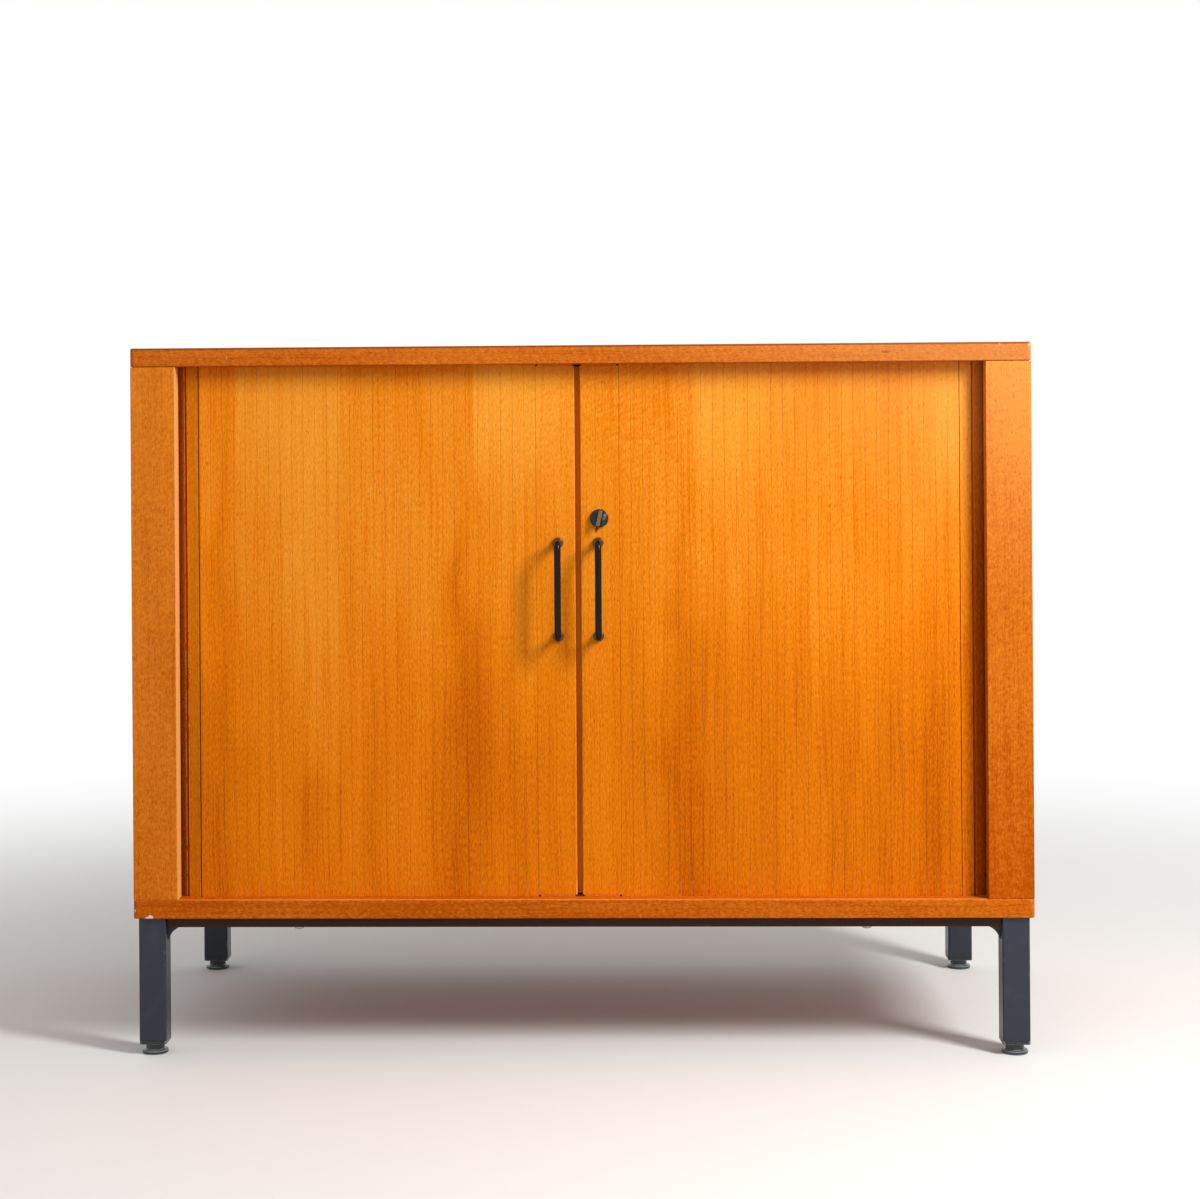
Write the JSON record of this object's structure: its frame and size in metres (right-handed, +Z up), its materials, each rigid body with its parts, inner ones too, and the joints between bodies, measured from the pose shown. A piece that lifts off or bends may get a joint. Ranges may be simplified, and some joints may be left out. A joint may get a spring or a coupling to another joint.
{
  "type": "tambour door cabinet",
  "caption": "Low cupboard with a pair of slatted sliding tambour doors in veneer, wire pulls and a turn lock, on a square-tube steel base with levelling glides.",
  "frame": {"origin": "on the floor, at the middle of the bounding box seen from above", "axes": "+X to the right as you face the doors, +Y towards the back, +Z up"},
  "size_m": [0.92, 0.43, 0.726],
  "materials": {
    "door_veneer": "satin lacquered orange-brown veneer, vertical grain",
    "carcass_veneer": "satin lacquered reddish-brown veneer with lighter worn arrises",
    "inner_veneer": "plain matt veneer",
    "dark_bronze": "near-black bronze, worn bright on the edges",
    "zinc_steel": "zinc-plated steel",
    "slate_paint": "slate-grey paint, low gloss",
    "black_plastic": "black moulded plastic"
  },
  "bodies": {
    "cabinet": {"top_panel": "carcass_veneer", "bottom_panel": "carcass_veneer", "left_side": "carcass_veneer", "right_side": "carcass_veneer", "left_stile": "carcass_veneer", "right_stile": "carcass_veneer", "left_inner_wall": "inner_veneer", "right_inner_wall": "inner_veneer", "back_panel": "inner_veneer", "shelf": "inner_veneer", "shelf_pin_left_front": "zinc_steel", "shelf_pin_left_rear": "zinc_steel", "shelf_pin_right_front": "zinc_steel", "shelf_pin_right_rear": "zinc_steel", "left_curtain": "door_veneer", "right_curtain": "door_veneer", "leg_front_left": "slate_paint", "leg_front_right": "slate_paint", "leg_rear_left": "slate_paint", "leg_rear_right": "slate_paint", "gusset_front_left": "slate_paint", "gusset_front_right": "slate_paint", "gusset_rear_left": "slate_paint", "gusset_rear_right": "slate_paint", "base_rail_front": "slate_paint", "base_rail_rear": "slate_paint", "base_rail_left": "slate_paint", "base_rail_right": "slate_paint", "leg_insert_front_left": "black_plastic", "leg_insert_front_right": "black_plastic", "leg_insert_rear_left": "black_plastic", "leg_insert_rear_right": "black_plastic", "frame_screw_1": "zinc_steel", "frame_screw_2": "zinc_steel", "frame_screw_3": "zinc_steel", "frame_screw_4": "zinc_steel"},
    "left_door": {"left_lead_rail": "door_veneer", "left_pull": "dark_bronze", "left_pull_collar_upper": "dark_bronze", "left_pull_collar_lower": "dark_bronze", "left_pull_screw_upper": "zinc_steel", "left_pull_screw_lower": "zinc_steel", "striker": "zinc_steel"},
    "right_door": {"right_lead_rail": "door_veneer", "right_pull": "dark_bronze", "right_pull_collar_upper": "dark_bronze", "right_pull_collar_lower": "dark_bronze", "right_pull_screw_upper": "zinc_steel", "right_pull_screw_lower": "zinc_steel", "closing_strip": "carcass_veneer", "lock_barrel": "dark_bronze", "lock_nut": "zinc_steel"},
    "lock": {"lock_turn": "dark_bronze", "lock_cam": "zinc_steel", "cam_screw": "zinc_steel"},
    "glide_front_left": {"glide_front_left": "black_plastic"},
    "glide_front_right": {"glide_front_right": "black_plastic"},
    "glide_rear_left": {"glide_rear_left": "black_plastic"},
    "glide_rear_right": {"glide_rear_right": "black_plastic"}
  },
  "joints": [
    {"name": "left_door_slide", "type": "slide", "parent": "cabinet", "child": "left_door", "axis": [-1, 0, 0], "range_m": [0, 0.343], "deforming": ["left_curtain"]},
    {"name": "right_door_slide", "type": "slide", "parent": "cabinet", "child": "right_door", "axis": [1, 0, 0], "range_m": [0, 0.343], "deforming": ["right_curtain"]},
    {"name": "lock_rotation", "type": "hinge", "parent": "right_door", "child": "lock", "pos_m": [0.0202, -0.185, 0.5485], "axis": [0, 1, 0], "range_deg": [0, 90]},
    {"name": "glide_front_left_thread", "type": "hinge", "parent": "cabinet", "child": "glide_front_left", "pos_m": [-0.4415, -0.1865, 0], "axis": [0, 0, 1], "continuous": true},
    {"name": "glide_front_right_thread", "type": "hinge", "parent": "cabinet", "child": "glide_front_right", "pos_m": [0.4415, -0.1865, 0], "axis": [0, 0, 1], "continuous": true},
    {"name": "glide_rear_left_thread", "type": "hinge", "parent": "cabinet", "child": "glide_rear_left", "pos_m": [-0.4415, 0.1965, 0], "axis": [0, 0, 1], "continuous": true},
    {"name": "glide_rear_right_thread", "type": "hinge", "parent": "cabinet", "child": "glide_rear_right", "pos_m": [0.4415, 0.1965, 0], "axis": [0, 0, 1], "continuous": true}
  ]
}
